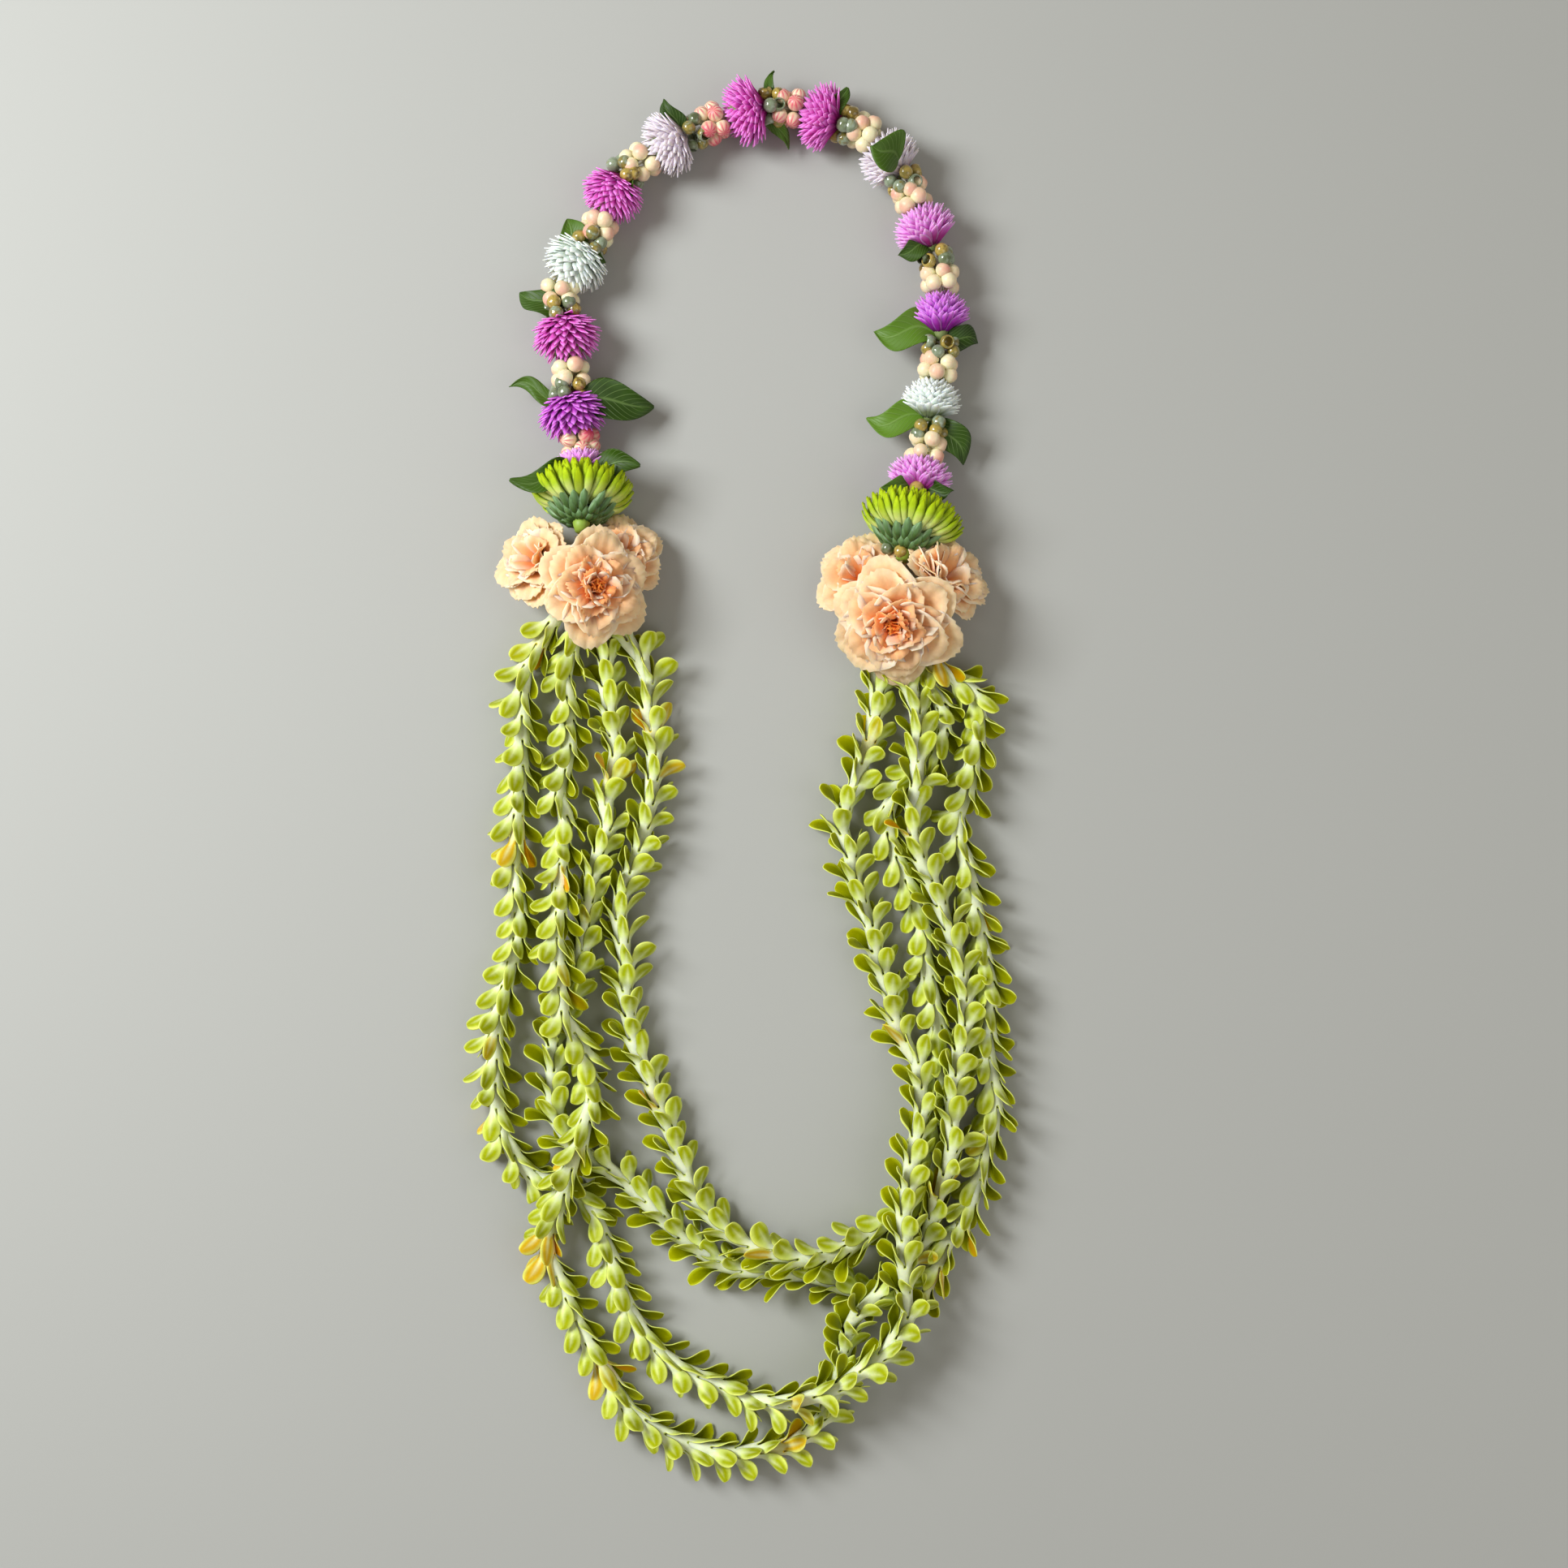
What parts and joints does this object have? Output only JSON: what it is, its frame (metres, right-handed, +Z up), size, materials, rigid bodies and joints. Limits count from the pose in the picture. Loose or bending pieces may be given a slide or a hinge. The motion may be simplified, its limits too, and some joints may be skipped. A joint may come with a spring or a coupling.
{
  "type": "fresh flower lei",
  "caption": "Open flower lei laid flat: a neck arch of globe amaranth, berries and olive capsules, a button mum and carnations at each end, and hanging strands of green pakalana.",
  "frame": {"origin": "on the surface that the lei lies on, under the middle of its outline", "axes": "+Y from the hanging strands towards the neck arch, +Z up from the surface"},
  "size_m": [0.1948, 0.5027, 0.0367],
  "materials": {
    "cotton_thread": "matte",
    "pakalana_petals": "waxy satin",
    "amaranth_bracts": "papery",
    "berry_skin": "smooth satin",
    "olive_skin": "glossy",
    "mum_petals": "satin",
    "carnation_petals": "matte"
  },
  "bodies": {
    "root": {"stringing_thread": "cotton_thread", "pakalana_outer_left_1": "pakalana_petals", "pakalana_outer_left_2": "pakalana_petals", "pakalana_outer_left_3": "pakalana_petals", "pakalana_outer_left_4": "pakalana_petals", "pakalana_outer_low_1": "pakalana_petals", "pakalana_outer_low_2": "pakalana_petals", "pakalana_outer_low_3": "pakalana_petals", "pakalana_outer_right_1": "pakalana_petals", "pakalana_outer_right_2": "pakalana_petals", "pakalana_outer_right_3": "pakalana_petals", "pakalana_inner_left_1": "pakalana_petals", "pakalana_inner_left_2": "pakalana_petals", "pakalana_inner_left_3": "pakalana_petals", "pakalana_inner_left_4": "pakalana_petals", "globe_amaranth_01": "amaranth_bracts", "globe_amaranth_02": "amaranth_bracts", "globe_amaranth_03": "amaranth_bracts", "globe_amaranth_04": "amaranth_bracts", "globe_amaranth_05": "amaranth_bracts", "globe_amaranth_06": "amaranth_bracts", "globe_amaranth_07": "amaranth_bracts", "globe_amaranth_08": "amaranth_bracts", "globe_amaranth_09": "amaranth_bracts", "globe_amaranth_10": "amaranth_bracts", "globe_amaranth_11": "amaranth_bracts", "globe_amaranth_12": "amaranth_bracts", "globe_amaranth_13": "amaranth_bracts", "berries_01": "berry_skin", "berries_02": "berry_skin", "berries_03": "berry_skin", "berries_04": "berry_skin", "berries_05": "berry_skin", "berries_06": "berry_skin", "berries_07": "berry_skin", "berries_08": "berry_skin", "berries_09": "berry_skin", "berries_10": "berry_skin", "berries_11": "berry_skin", "berries_12": "berry_skin", "olives_01": "olive_skin", "olives_02": "olive_skin", "olives_03": "olive_skin", "olives_04": "olive_skin", "olives_05": "olive_skin", "olives_06": "olive_skin", "olives_07": "olive_skin", "olives_08": "olive_skin", "olives_09": "olive_skin", "olives_10": "olive_skin", "olives_11": "olive_skin", "olives_12": "olive_skin", "button_mum_left": "mum_petals", "button_mum_right": "mum_petals", "carnation_left_front": "carnation_petals", "carnation_left_side": "carnation_petals", "carnation_left_back": "carnation_petals", "carnation_right_front": "carnation_petals", "carnation_right_side": "carnation_petals", "carnation_right_inner": "carnation_petals"}
  },
  "joints": []
}
